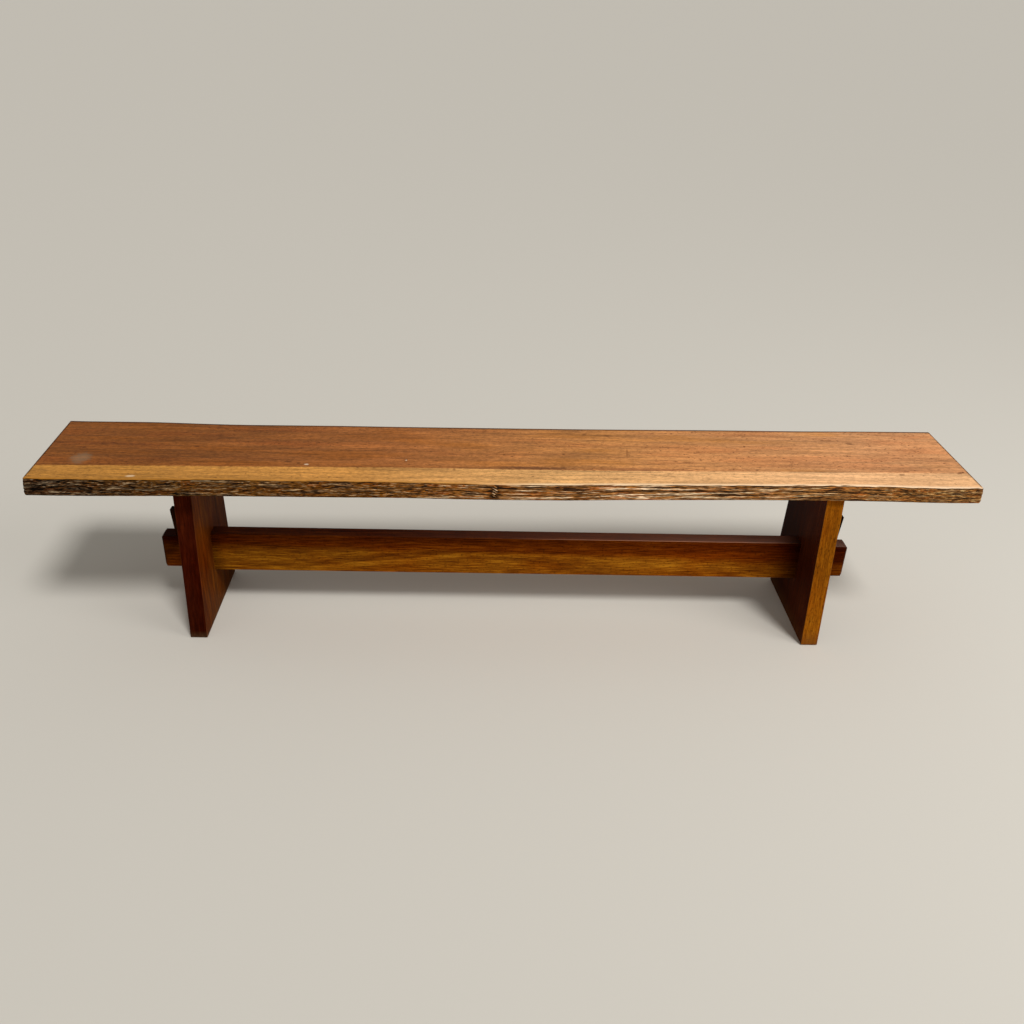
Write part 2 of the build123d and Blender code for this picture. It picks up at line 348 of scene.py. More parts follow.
# The rail: lighter and more golden, with a pale cover on top that paints a sheen of reflected light, and worn
# arrises towards the right. In the corners against the legs it is painted dark as shade, and its upper part is
# painted darker as the shade of the plank.
railTones = [(0.36, "#4e2608"), (0.5, "#824a0c"), (0.64, "#b07218")]
railTeak = dict(
    leftLegTeak,
    turn=(0, 0, 0),
    pith=(-0.35, 0.02),
    faceTones=railTones,
    edgeTones=railTones,
    poreFrom=0.58,
    poreDark=0.4,
    tintsAndPaintedShade=[
        # along the rail: darker and warmer at the left leg, even in the middle, and darker again towards and
        # past the right leg, there partly the wood's tone and partly painted shade next to the leg
        (0, 0.0, -railReach, railReach,
         [(0.05, "#c8a48c"), (0.07, 0.82), (0.5, 1.0), (0.8, 1.02), (0.96, "#b69a7e")]),
        # painted shade in the corners against the left and the right leg, where the pale arris and the top's
        # pale cover also dip
        (0, 0.0, -railReach, railReach, [(0.06, 1.0), (0.072, 0.6), (0.092, 1.0)]),  # left corner
        (0, 0.0, -railReach, railReach, [(0.902, 1.0), (0.928, 0.4), (0.94, 1.0)]),  # right corner
        # darker towards the top of the left tenon: painted shade under the plank
        (2, -1.0, 0.95, 1.03, [(0.4, 1.0), (0.9, 0.42)]),  # upper half of the left tenon
        # darker towards the top of the rail: painted shade of the plank above
        (2, 0.02, 116.6 * mm, 222.3 * mm, [(0.0, 1.04), (0.44, 1.04), (0.68, "#d0a890"), (0.9, "#b08876")]),
    ],
    wearAndPaintedSheen=[
        ("arrises", -railReach, railReach, [(0.1, 0.0), (0.5, 0.1), (0.6, 1.0), (0.86, 0.9), (0.925, 0.05)],
         "#c08a6c"),
        # on the top face a pale cover that grows towards the right: a painted sheen of reflected light,
        # dipping in the painted shade at the right leg
        ("top", -railReach, railReach, [(0.3, 0.03), (0.75, 0.3), (0.9, 0.28), (0.926, 0.04), (0.95, 0.3)],
         "#b38f7f"),
    ],
)
# The wedges: the darkest wood, nearly black with oil
wedgeTones = [(0.34, "#160b06"), (0.5, "#24130a"), (0.66, "#3a2010")]
wedgeTeak = dict(leftLegTeak, pith=(0.05, 0.3), faceTones=wedgeTones, edgeTones=wedgeTones,
                 wearAndPaintedSheen=leftLegTeak["wearAndPaintedSheen"][:1])
# Beech, turned on a lathe and left bare: pale and even
beechTones = [(0.34, "#a88352"), (0.5, "#bf9a68"), (0.66, "#cfae7d")]
dowelBeech = dict(leftLegTeak, faceTones=beechTones, edgeTones=beechTones, poreDark=0.15, patchShare=0.0,
                  wearAndPaintedSheen=[])

woods = (
    ("teakPlanedOiledLeftLeg", leftLegTeak, ["left_leg"]),
    ("teakPlanedOiledRightLeg", rightLegTeak, ["right_leg"]),
    ("teakPlanedOiledRail", railTeak, ["stretcher_rail"]),
    ("teakDarkOiledWedge", wedgeTeak, ["left_wedge", "right_wedge"]),
    ("beechTurnedBareDowel", dowelBeech, ["left_leg_dowels", "right_leg_dowels"]),
)
for name, look, nodes in woods:
    material = makeWood(name, look)
    for node in nodes:
        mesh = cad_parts[node].data
        mesh.materials.clear()
        mesh.materials.append(material)
print("legs, rail, wedges and dowels dressed")


# Plank: modelled over the CAD plank, in a frame turned so that x runs along its fibre. Its live edge is
# pressed in from the CAD face, so nothing stands out of the solid.
plankShape = {
    "skew": math.radians(0.87),
    "top": 450 * mm,
    "underside": legTop,
    "halfWidth": 150 * mm,
    "arrisGap": 0.35 * mm,
    "stationStep": 3.2 * mm,
    "edgeRows": 42,
    "backRows": 12,
    "faceColumns": 24,
    "rimColumns": (1.5 * mm, 4 * mm, 8 * mm),
    # how far in from the sawn end, and how far the arris is drawn in there
    "endRounding": ((0.0, 3.6 * mm), (0.5 * mm, 2.2 * mm), (1.4 * mm, 1.1 * mm), (3 * mm, 0.3 * mm),
                    (5 * mm, 0.0)),
    "endRoundingReach": 30 * mm,
    "endRoundingLeast": 0.35,
    "endRoundingAbove": 0.5,
    "endRoundingAcross": 0.4,
    "endProbe": 120 * mm,
    "endClear": 6 * mm,
    "topSag": 0.25 * mm,
    "sagLength": 0.3,
    "endRim": 5 * mm,
    "backRim": 10 * mm,
    "frontRim": 8 * mm,
    "sharpAngle": math.radians(50),
}

# Live edge: long fibres with furrows between them, left when the bark came off. A wave is given by its
# length along the plank, its height and a place of its own in the noise.
waneShape = {
    "fibreWave": (50 * mm, 3.2 * mm, 1.7),
    "fineWave": (22.5 * mm, 1.6 * mm, 8.3),
    "coarseWave": (190 * mm, 11 * mm, 2.9),
    "gritWave": (10 * mm, 3 * mm, 5.5),
    "bendLongWave": (210 * mm, 50 * mm, 4.2),
    "bendShortWave": (28 * mm, 12 * mm, 6.6),
    "bendLong": 5.5 * mm,
    "bendShort": 1.3 * mm,
    "furrow": 1.5 * mm,
    "furrowSharp": 4.5,
    "fineFurrow": 0.75 * mm,
    "fineSharp": 4.0,
    "swell": 1.0 * mm,
    "grit": 0.4 * mm,
    "level": 0.4,
    "setBack": 0.3 * mm,
    "shallowest": 0.05 * mm,
    "deepest": 3.6 * mm,
    "arrisKeep": 0.2,
    "arrisRise": 9,
    "markBend": 0.4,
    "markTaper": 8,
    "markBlunt": 0.4,
}

# Ridges and splits that stand out by themselves: from and to along the plank in mm, height at each as a
# share of the thickness, half height in mm, how far it stands out in mm (a split is below 0), paleness
waneMarks = (
    (-1085, -1010, 0.35, 0.55, 2.4, -1.1, -0.8),
    (-1042, -1006, 0.22, 0.26, 1.6, 0.9, 1.0),
    (-1045, -1020, 0.62, 0.60, 1.0, 0.7, 0.7),
    (-962, -920, 0.12, 0.32, 1.0, 0.9, 1.0),
    (-920, -866, 0.38, 0.82, 1.0, 0.9, 0.9),
    (-880, -856, 0.80, 0.78, 1.5, 0.9, 1.0),
    (-985, -930, 0.62, 0.50, 1.8, -1.0, -0.5),
    (-856, -812, 0.38, 0.34, 1.2, 0.8, 1.0),
    (-735, -652, 0.92, 0.88, 1.5, 1.0, 1.3),
    (-700, -640, 0.62, 0.58, 1.0, 0.7, 0.7),
    (-612, -530, 0.76, 0.74, 1.0, 0.8, 1.0),
    (-530, -490, 0.42, 0.44, 1.2, 0.8, 1.2),
    (-445, -400, 0.30, 0.28, 1.0, 0.7, 0.8),
    (-330, -230, 0.60, 0.54, 1.2, -0.9, -0.4),
    (-225, -150, 0.12, 0.14, 1.3, 1.0, 1.1),
    (-160, -70, 0.20, 0.18, 1.2, 1.0, 1.1),
    (-213, -160, 0.46, 0.46, 1.0, 0.6, 0.5),
    (-35, 5, 0.80, 0.72, 2.2, -0.9, -0.6),
    (0, 40, 0.62, 0.60, 1.0, 0.7, 0.7),
    (0, 90, 0.10, 0.12, 1.1, 0.8, 0.7),
    (15, 90, 0.64, 0.62, 1.1, 0.7, 0.6),
    (110, 160, 0.74, 0.66, 2.2, -1.0, -0.7),
    (60, 250, 0.14, 0.32, 1.2, 1.0, 1.1),
    (230, 430, 0.34, 0.44, 1.3, 1.2, 1.3),
    (420, 560, 0.46, 0.50, 1.1, 1.1, 1.0),
    (130, 240, 0.26, 0.38, 1.0, -1.0, -0.6),
    (190, 330, 0.80, 0.76, 1.1, 0.8, 1.0),
    (220, 560, 0.60, 0.58, 1.2, -1.2, -0.8),
    (330, 420, 0.74, 0.72, 1.0, 0.6, 0.8),
    (250, 640, 0.24, 0.22, 1.8, 0.8, 0.3),
    (440, 690, 0.34, 0.36, 0.9, -1.0, -0.7),
    (560, 660, 0.84, 0.76, 1.0, 0.8, 0.7),
    (634, 700, 0.28, 0.26, 1.0, 0.9, 1.1),
    (760, 900, 0.35, 0.28, 1.0, 0.7, 0.4),
    (820, 960, 0.74, 0.66, 1.0, -0.8, -0.4),
    (1045, 1064, 0.80, 0.78, 1.2, 0.6, 1.0),
)
# A ladder of short slanting ridges where a twig has healed over
waneScar = {
    "place": -46 * mm,
    "reach": 11 * mm,
    "step": 0.8 * mm,
    "swing": 5.0 * mm,
    "teeth": 6.4,
    "halfWidth": 2.0 * mm,
    "hollow": 0.54 * mm,
    "ridge": 1.26 * mm,
    "ridgePale": 2.8,
    "hollowShade": 1.1,
}


def waneAt(x, share):
    # how deep the live edge lies behind the CAD face, how pale it is, and the height of its bent fibre
    spec, scar = waneShape, waneScar
    thickness = plankShape["top"] - plankShape["underside"]
    height = share * thickness

    def wave(name, level):
        length, high, place = spec[name]
        return noise.noise(Vector((x / length, level / high, place)))

    bent = height + spec["bendLong"] * wave("bendLongWave", height)
    bent += spec["bendShort"] * wave("bendShortWave", height)
    depth = spec["swell"] * (spec["level"] - wave("coarseWave", bent))
    depth += spec["grit"] * (spec["level"] + wave("gritWave", height))
    depth += spec["furrow"] * max(0.0, 1 - abs(wave("fibreWave", bent)) * spec["furrowSharp"])
    depth += spec["fineFurrow"] * max(0.0, 1 - abs(wave("fineWave", bent)) * spec["fineSharp"])
    pale = 0.0
    for start, end, low, high, half, stand, tone in waneMarks:
        along = (x / mm - start) / (end - start)
        if not -0.1 < along < 1.1:
            continue
        middle = low + (high - low) * along + (bent - height) / thickness * spec["markBend"]
        off = (share - middle) * thickness / (half * mm)
        # a mark runs out a little beyond its two ends
        taper = max(0.0, min(1.0, (0.5 - abs(along - 0.5)) * spec["markTaper"] + spec["markBlunt"]))
        near = math.exp(-off * off) * taper
        depth -= stand * mm * near
        pale += tone * near
    # the scar: slanting ridges one above another in a shallow hollow, fading towards both arrises
    tooth = 1 - 2 * ((share * scar["teeth"]) % 1)
    off = (x - scar["place"] - tooth * scar["swing"]) / scar["halfWidth"]
    ridge = math.exp(-off * off) * max(0.0, 1 - abs(share * 2 - 1.1) ** 3 * 2.2)
    hollow = math.exp(-((x - scar["place"]) / scar["reach"]) ** 2) * (1 - abs(share * 2 - 1) ** 3)
    depth += scar["hollow"] * hollow - scar["ridge"] * ridge
    # the ridges are drawn paler, and the hollow darker as painted shade
    pale += scar["ridgePale"] * ridge - scar["hollowShade"] * hollow
    # towards both arrises the relief fades, so that they stay whole
    guard = min(1.0, min(share, 1 - share) * spec["arrisRise"] + spec["arrisKeep"])
    depth = (depth + spec["setBack"]) * guard
    return max(spec["shallowest"], min(spec["deepest"], depth)), pale, bent


def probe(tree, start, along):
    return tree.ray_cast(Vector(start), Vector(along))[0]


def plankStations(left, right, spec):
    # places along the plank with how far each is drawn in, close together at the ends and at the scar
    count = round((right - left) / spec["stationStep"])
    near = waneScar["place"], waneScar["reach"]
    inside = [left + (right - left) * k / count for k in range(1, count)]
    inside = [x for x in inside if abs(x - near[0]) > near[1]]
    steps = round(2 * near[1] / waneScar["step"])
    inside += [near[0] - near[1] + 2 * near[1] * k / steps for k in range(steps + 1)]
    ends = [(left + a, b) for a, b in spec["endRounding"]], [(right - a, b) for a, b in spec["endRounding"]]
    return ends[0] + [(x, 0.0) for x in sorted(inside)] + ends[1][::-1]


def plankLoops(spec):
    # rings of points round the plank, with what the materials read from them
    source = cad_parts["seat_plank"].data
    turned = Matrix.Rotation(-spec["skew"], 4, "Z")
    tree = BVHTree.FromPolygons([turned @ v.co for v in source.vertices],
                                [tuple(p.vertices) for p in source.polygons])
    top, underside = spec["top"], spec["underside"]
    middle, thickness = (top + underside) / 2, top - underside
    ends = []
    for side in (-1, 1):
        near, far = (probe(tree, (side * 2, y, middle), (-side, 0, 0)).x
                     for y in (-spec["endProbe"], spec["endProbe"]))
        ends.append(((near + far) / 2, (far - near) / (2 * spec["endProbe"])))
    (left, leftSlope), (right, rightSlope) = ends
    low, high = underside + spec["arrisGap"], top - spec["arrisGap"]
    frontHeights = np.linspace(low, high, spec["edgeRows"])
    backHeights = np.linspace(high, low, spec["backRows"])
    points, felt = [], []
    stations = plankStations(left, right, spec)
    for x, inset in stations:
        xProbe = min(max(x, left + spec["endClear"]), right - spec["endClear"])
        rimEnd = max(0.0, 1 - min(x - left, right - x) / spec["endRim"])
        ring = []
        for z in frontHeights:
            depth, pale, bent = waneAt(x, (z - underside) / thickness)
            ring.append((probe(tree, (xProbe, -1, z), (0, 1, 0)).y + depth, z, depth, pale, bent, rimEnd))
        front = ring[-1][0]
        back = [(probe(tree, (xProbe, 1, z), (0, -1, 0)).y, z) for z in backHeights]
        wide = back[0][0] - front
        rims = [r / wide for r in spec["rimColumns"]]
        inner = np.linspace(rims[-1], 1 - rims[-1], spec["faceColumns"])[1:-1]
        across = rims + list(inner) + [1 - r for r in rims[::-1]]
        for k in across:
            hollow = 0.5 + 0.5 * noise.noise(Vector((x / spec["sagLength"], k * 3, 9)))
            sag = spec["topSag"] * hollow * min(1, k * 20, (1 - k) * 20)
            rim = max(rimEnd, 1 - (1 - k) * wide / spec["backRim"], 0.0)
            rim -= max(0.0, 1 - k * wide / spec["frontRim"])
            ring.append((front + wide * k, top - sag, 0.0, 0.0, 0.0, rim))
        ring += [(y, z, 0.0, 0.0, 0.0, 1.0) for y, z in back]
        wide = back[-1][0] - ring[0][0]
        ring += [(back[-1][0] - wide * k, underside, 0.0, 0.0, 0.0, rimEnd) for k in across]
        for y, z, *values in ring:
            # the end is rounded over most at the front, below, and hardly at the back
            level = 1.0 if z < middle else spec["endRoundingAbove"]
            worn = max(spec["endRoundingLeast"], (1 - (y - front) / spec["endRoundingReach"]) * level)
            y *= 1 - inset * worn * spec["endRoundingAcross"] / spec["halfWidth"]
            z = middle + (z - middle) * (1 - inset * worn / (thickness / 2))
            along = (x - left) / (right - left)
            xLow, xHigh = left + leftSlope * y, right + rightSlope * y
            points.append((xLow + (xHigh - xLow) * along, y, z))
            felt.append(values)
    return points, felt, len(stations), len(across)


def makePlank(spec):
    points, felt, stations, columns = plankLoops(spec)
    rows, backs = spec["edgeRows"], spec["backRows"]
    ring = rows + backs + 2 * columns
    faces, slots = [], []
    for i in range(stations - 1):
        for j in range(ring):
            k = (j + 1) % ring
            faces.append((i * ring + j, (i + 1) * ring + j, (i + 1) * ring + k, i * ring + k))
            slots.append(1 if j < rows - 1 else 0)
    # the two sawn ends: strips between the top and the underside, and a many-sided face at the front and back
    for first, flip in ((0, True), ((stations - 1) * ring, False)):
        upper = [first + rows - 1] + [first + rows + c for c in range(columns)] + [first + rows + columns]
        lower = [first] + [first + ring - 1 - c for c in range(columns)] + [first + rows + backs + columns - 1]
        frontSide = [first + r for r in range(rows)]
        backSide = [first + rows + columns + backs - 1 - r for r in range(backs)]
        closing = []
        for c in range(1, columns):
            closing.append(((lower[c], lower[c + 1], upper[c + 1], upper[c]), False))
        closing.append((frontSide + [upper[1], lower[1]], True))
        closing.append((backSide + [upper[-2], lower[-2]], False))
        for loop, mirrored in closing:
            faces.append(loop[::-1] if flip != mirrored else loop)
            slots.append(0)
    mesh = bpy.data.meshes.new("livePlank")
    mesh.from_pydata(points, [], faces)
    mesh.polygons.foreach_set("material_index", slots)
    mesh.transform(Matrix.Rotation(spec["skew"], 4, "Z"))
    values = np.array(felt, dtype=np.float32)
    values[:, 0] /= waneShape["deepest"]
    for column, name in enumerate(("furrow", "paleness", "bentHeight", "rim")):
        attribute = mesh.attributes.new(name, "FLOAT", "POINT")
        attribute.data.foreach_set("value", np.ascontiguousarray(values[:, column]))
    mesh.polygons.foreach_set("use_smooth", [True] * len(faces))
    mesh.set_sharp_from_angle(angle=spec["sharpAngle"])
    mesh.validate()
    plank = bpy.data.objects.new("livePlank", mesh)
    bpy.context.scene.collection.objects.link(plank)
    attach(plank, "frame")
    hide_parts("seat_plank")
    return plank


# Teak slab, sanded and oiled: red-brown heartwood that pales towards the right end, partly its own colour
# and partly painted light falling from the right, a straight band of honey sapwood in front that pales the
# same way, soft streaks a finger wide, short dark pores, small dents and stains from use.
# Pores are really 0.3 mm wide, and are drawn about 2 mm wide so that they show.
slabTeak = {
    "turn": (0, 0, -plankShape["skew"]),
    "length": 2.2,
    "pith": (0.14, 0.10),
    "ringWidth": 12 * mm,
    "ringLength": 0.5,
    "ringBend": 0.03,
    "ringTones": [(0.34, 0.86), (0.5, 1.0), (0.66, 1.08)],
    "patterns": {  # size along and across the fibre, detail, roughness
        "streaks": ((240 * mm, 15 * mm, 15 * mm), 4.0, 0.6),
        "lines": ((90 * mm, 5 * mm, 5 * mm), 3.0, 0.65),
        "grain": ((13 * mm, 6.5 * mm, 6.5 * mm), 3.0, 0.75),
        "hues": ((280 * mm, 50 * mm, 50 * mm), 2.0, 0.5),
        "pores": ((12 * mm, 4.6 * mm, 4.6 * mm), 2.0, 0.65),
        "specks": ((9 * mm, 8 * mm, 8 * mm), 0.0, 0.5),
    },
    "figure": {
        "streaks": [(0.32, 0.72), (0.5, 1.0), (0.68, 1.2)],
        "lines": [(0.34, 0.74), (0.5, 1.0), (0.66, 1.2)],
        "grain": [(0.35, 0.72), (0.5, 1.0), (0.65, 1.25)],
    },
    "figureStrong": 0.9,
    "figureWeak": 0.7,
    "fadeFrom": 0.5,
    "fadeTo": 0.75,
    # the heartwood and sapwood lighten towards the right end: partly the wood's own colour and partly painted
    # light from the right
    "heartAlong": [(0.12, "#824c20"), (0.38, "#9a5e30"), (0.6, "#bb7e47"), (0.9, "#c88d5d")],
    "heartTints": [  # redder in some places, more golden in others
        ("#f6dccf", [(0.5, 0.0), (0.68, 0.5)]),
        ("#faf0cc", [(0.32, 0.8), (0.48, 0.0)]),
    ],
    "sapAlong": [(0.1, "#b07935"), (0.33, "#c28743"), (0.55, "#d8a265"), (0.85, "#e2ad7a")],
    "sapEdge": -80.5 * mm,
    "sapEdgeAlong": [(0.0, 0.05), (0.13, 0.36), (0.2, 0.30), (0.28, 0.46), (0.41, 0.62), (0.565, 0.2),
                     (0.72, 0.6), (0.88, 0.72), (1.0, 0.8)],
    "sapEdgeSwing": 20 * mm,
    "sapEdgeSlope": 0.55,
    "sapEdgeRagged": 3 * mm,
    "sapEdgeSoft": (-1.5 * mm, 2 * mm),
    "sapEdgeBlur": 3.0,
    "poreStops": [(0.62, 0.0), (0.69, 1.0)],
    "speckStops": [(0.76, 0.0), (0.81, 1.0)],
    "poreInHeart": 0.7,
    "poreInSap": 0.4,
    "poreSparse": 0.15,
    "crowdFrom": 0.38,
    "crowdTo": 0.56,
    "poreDepth": 0.8,
    "poreTone": "#4a2410",
    "markDepth": 4 * mm,
    "markRagged": 1.6,
    "markFrom": 1.2,
    "markTo": 2.0,
    "rimTone": "#3a2416",
    "rimFrom": 0.1,
    "rimTo": 0.65,
    "rimShare": 0.9,
    "rimShareOnEnd": 0.35,
    "endFrom": 0.8,
    "endTo": 0.97,
    "endArcs": [(0.36, "#6a5044"), (0.5, "#b09080"), (0.64, "#d8c0b0")],
    # the pale front arris along the plank: darker on the left and pale from the middle on, partly wear and
    # partly a painted highlight
    "wornAlong": [(0.1, "#a06a28"), (0.45, "#bd8440"), (0.53, "#efcfa4"), (1.0, "#f4d4b0")],
    "wornFrom": -0.1,
    "wornTo": -0.8,
    "wornShare": 0.7,
    "roughness": 0.5,
    "glossSwing": (-0.06, 0.08),
    "specular": 0.07,
    "sheenTint": "#f0d8c0",
    "bump": 0.15,
    "bumpDepth": 0.4 * mm,
}
# Stains, dents and scratches: place, half length and half width in mm, turn in degrees, colour, strength
topMarks = (
    (-1005, -50, 25, 30, 0, "#8a7c64", 0.36),
    (-867, -138, 12, 5, 5, "#e8cca8", 0.6),
    (-1016, 6, 6, 4.5, 20, "#3a1c0c", 0.6),
    (-981, 29, 5, 4.5, -30, "#3a1c0c", 0.6),
    (-917, -18, 7, 4, 0, "#45230f", 0.5),
    (-934, 59, 5, 4, 0, "#45230f", 0.5),
    (-756, 19, 7, 4, 0, "#45230f", 0.5),
    (-676, -140, 5, 4, 15, "#4c2a12", 0.6),
    (-527, -56, 13, 6, 8, "#3c1f0e", 0.55),
    (-502, -63, 5, 5, 0, "#3c1f0e", 0.5),
    (-483, -69, 6, 4, 0, "#e8ccac", 0.7),
    (-363, -82, 4, 4, 0, "#5a3016", 0.5),
    (-254, -42, 7, 8, 10, "#43240f", 0.5),
    (-253, -42, 3, 4, 0, "#e8cba8", 0.7),
    (-139, -86, 4, 5, 0, "#5a3016", 0.5),
    (50, -74, 105, 9, -1.3, "#5a3422", 0.6),
    (310, -75, 140, 8, 0.6, "#7e4e34", 0.45),
    (187, 119, 7, 7, 40, "#5c3317", 0.5),
    (248, 112, 13, 5, 0, "#5c3317", 0.5),
    (282, 14, 2.6, 34, -8, "#6a3c1c", 0.45),
    (436, 39, 8, 5, -20, "#6a3c1c", 0.5),
    (460, 23, 6, 5, 0, "#6a3c1c", 0.5),
    (421, -34, 10, 5, 0, "#6a3c1c", 0.45),
    (806, 100, 18, 5, 0, "#6a3c1c", 0.5),
    (860, 84, 11, 6, 0, "#4a2814", 0.6),
    (931, -86, 8, 5, 10, "#5c3317", 0.5),
    (1080, -72, 9, 5, 10, "#5c3317", 0.5),
)


def makeSlab(look):
    material, tree, grain = startWood("teakSlabSandedOiled", look)
    laid = layPatterns(tree, grain, look["patterns"])
    rings = layRings(tree, grain, look)
    x, y, z = addNode(tree, "SeparateXYZ", {0: grain}).node.outputs
    along = addNode(tree, "MapRange", {0: x, 1: -look["length"] / 2, 2: look["length"] / 2})
    heart, sap, wornTone = (addNode(tree, "ValToRGB", {0: along}, stops=look[key])
                            for key in ("heartAlong", "sapAlong", "wornAlong"))
    for tint, stops in look["heartTints"]:
        share = addNode(tree, "ValToRGB", {0: laid["hues"]}, stops=stops)
        heart = addNode(tree, "Mix", {0: share, 6: heart, 7: hexLinear(tint)}, **multiply)
    # where the sapwood starts, a line that swings a few millimetres and is ragged by a fibre's width
    swing = addNode(tree, "ValToRGB", {0: along}, stops=look["sapEdgeAlong"], ease="B_SPLINE")
    edge = addNode(tree, "MapRange", {0: swing, 3: look["sapEdge"] - look["sapEdgeSwing"] / 2,
                                      4: look["sapEdge"] + look["sapEdgeSwing"] / 2})
    drop = addNode(tree, "Math", {0: plankShape["top"], 1: z}, operation="SUBTRACT")
    edge = addNode(tree, "Math", {0: drop, 1: look["sapEdgeSlope"], 2: edge}, operation="MULTIPLY_ADD")
    ragged = addNode(tree, "MapRange", {0: laid["grain"], 3: -look["sapEdgeRagged"], 4: look["sapEdgeRagged"]})
    edge = addNode(tree, "Math", {0: edge, 1: ragged}, operation="ADD")
    beyond = addNode(tree, "Math", {0: edge, 1: y}, operation="SUBTRACT")
    blur = addNode(tree, "MapRange", {0: along, 1: look["fadeFrom"], 2: look["fadeTo"],
                                      3: 1.0, 4: look["sapEdgeBlur"]})
    beyond = addNode(tree, "Math", {0: beyond, 1: blur}, operation="DIVIDE")
    isSap = addNode(tree, "MapRange", {0: beyond, 1: look["sapEdgeSoft"][0], 2: look["sapEdgeSoft"][1]},
                    interpolation_type="SMOOTHSTEP")
    colour = addNode(tree, "Mix", {0: isSap, 6: heart, 7: sap}, **layOver)
    # the figure is stronger in the darker wood of the left half
    strong = addNode(tree, "MapRange", {0: along, 1: look["fadeFrom"], 2: look["fadeTo"],
                                        3: look["figureStrong"], 4: look["figureWeak"]})
    for pattern, stops in look["figure"].items():
        tone = addNode(tree, "ValToRGB", {0: laid[pattern]}, stops=stops)
        colour = addNode(tree, "Mix", {0: strong, 6: colour, 7: tone}, **multiply)
    tone = addNode(tree, "ValToRGB", {0: rings}, stops=look["ringTones"])
    colour = addNode(tree, "Mix", {0: 1.0, 6: colour, 7: tone}, **multiply)
    # pores and specks, fewer in the sapwood and where the wood is more golden
    inPore = addNode(tree, "ValToRGB", {0: laid["pores"]}, stops=look["poreStops"])
    inSpeck = addNode(tree, "ValToRGB", {0: laid["specks"]}, stops=look["speckStops"])
    darkest = addNode(tree, "Math", {0: inPore, 1: inSpeck}, operation="MAXIMUM")
    inWood = addNode(tree, "MapRange", {0: isSap, 3: look["poreInHeart"], 4: look["poreInSap"]})
    poreShare = addNode(tree, "Math", {0: darkest, 1: inWood}, operation="MULTIPLY")
    crowded = addNode(tree, "MapRange", {0: laid["hues"], 1: look["crowdFrom"], 2: look["crowdTo"],
                                         3: look["poreSparse"], 4: 1.0})
    poreShare = addNode(tree, "Math", {0: poreShare, 1: crowded}, operation="MULTIPLY")
    colour = addNode(tree, "Mix", {0: poreShare, 6: colour, 7: hexLinear(look["poreTone"])}, **layOver)
    for across, back, halfLength, halfWidth, turn, tone, strength in topMarks:
        local = addNode(tree, "Mapping", {
            "Vector": grain, "Location": (across * mm, back * mm, plankShape["top"]),
            "Rotation": (0, 0, math.radians(turn)),
            "Scale": (halfLength * mm, halfWidth * mm, look["markDepth"])}, vector_type="TEXTURE")
        reach = addNode(tree, "VectorMath", {0: local}, out="Value", operation="LENGTH")
        reach = addNode(tree, "Math", {0: laid["grain"], 1: look["markRagged"], 2: reach},
                        operation="MULTIPLY_ADD")
        inside = addNode(tree, "MapRange", {0: reach, 1: look["markFrom"], 2: look["markTo"],
                                            3: strength, 4: 0.0}, interpolation_type="SMOOTHSTEP")
        colour = addNode(tree, "Mix", {0: inside, 6: colour, 7: hexLinear(tone)}, **layOver)
    # the front arris is drawn pale, partly wear and partly a painted highlight
    rim = addNode(tree, "Attribute", out="Fac", attribute_name="rim")
    worn = addNode(tree, "MapRange", {0: rim, 1: look["wornFrom"], 2: look["wornTo"], 4: look["wornShare"]})
    colour = addNode(tree, "Mix", {0: worn, 6: colour, 7: wornTone}, **layOver)
    # on the sawn ends the growth rings stand out as arcs
    endwards = addNode(tree, "SeparateXYZ", {0: addNode(tree, "TexCoord", out="Normal")}).node.outputs[0]
    endwards = addNode(tree, "Math", {0: endwards}, operation="ABSOLUTE")
    onEnd = addNode(tree, "MapRange", {0: endwards, 1: look["endFrom"], 2: look["endTo"]})
    arcs = addNode(tree, "ValToRGB", {0: rings}, stops=look["endArcs"])
    ended = addNode(tree, "Mix", {0: 1.0, 6: colour, 7: arcs}, **multiply)
    colour = addNode(tree, "Mix", {0: onEnd, 6: colour, 7: ended}, **layOver)
    # the back arris and, less so, the ends are drawn darker
    most = addNode(tree, "MapRange", {0: onEnd, 3: look["rimShare"], 4: look["rimShareOnEnd"]})
    darkerRim = addNode(tree, "MapRange", {0: rim, 1: look["rimFrom"], 2: look["rimTo"], 4: most})
    colour = addNode(tree, "Mix", {0: darkerRim, 6: colour, 7: hexLinear(look["rimTone"])}, **layOver)
    height = addNode(tree, "Math", {0: darkest, 1: -look["poreDepth"], 2: laid["grain"]},
                     operation="MULTIPLY_ADD")
    finishWood(tree, look, colour, height, gloss=laid["streaks"])
    return material
